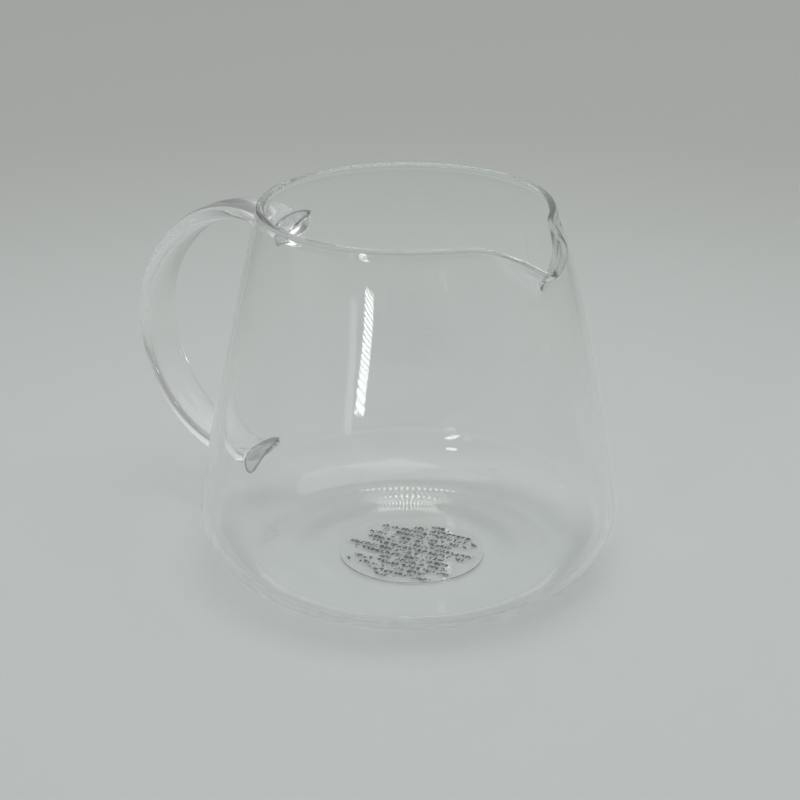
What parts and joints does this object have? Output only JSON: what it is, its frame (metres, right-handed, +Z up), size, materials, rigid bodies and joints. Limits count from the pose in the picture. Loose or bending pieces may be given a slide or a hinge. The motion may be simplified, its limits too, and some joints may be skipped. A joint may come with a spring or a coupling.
{
  "type": "glass coffee server",
  "caption": "Clear glass coffee server: a tapering round jug with a pulled pouring spout and a solid glass strap handle.",
  "frame": {"origin": "where the jug's axis meets the table, in the plane of the standing ring", "axes": "+Z up along the jug's axis, +X towards the spout, the handle at -X"},
  "size_m": [0.1505, 0.11, 0.098],
  "materials": {
    "vessel_glass": "clear polished borosilicate glass",
    "handle_glass": "clear polished solid glass",
    "weld_glass": "clear fused glass",
    "label_film": "thin clear film with small dark marks"
  },
  "bodies": {
    "root": {"vessel": "vessel_glass", "handle": "handle_glass", "upper_weld": "weld_glass", "lower_weld": "weld_glass", "base_label": "label_film"}
  },
  "joints": []
}
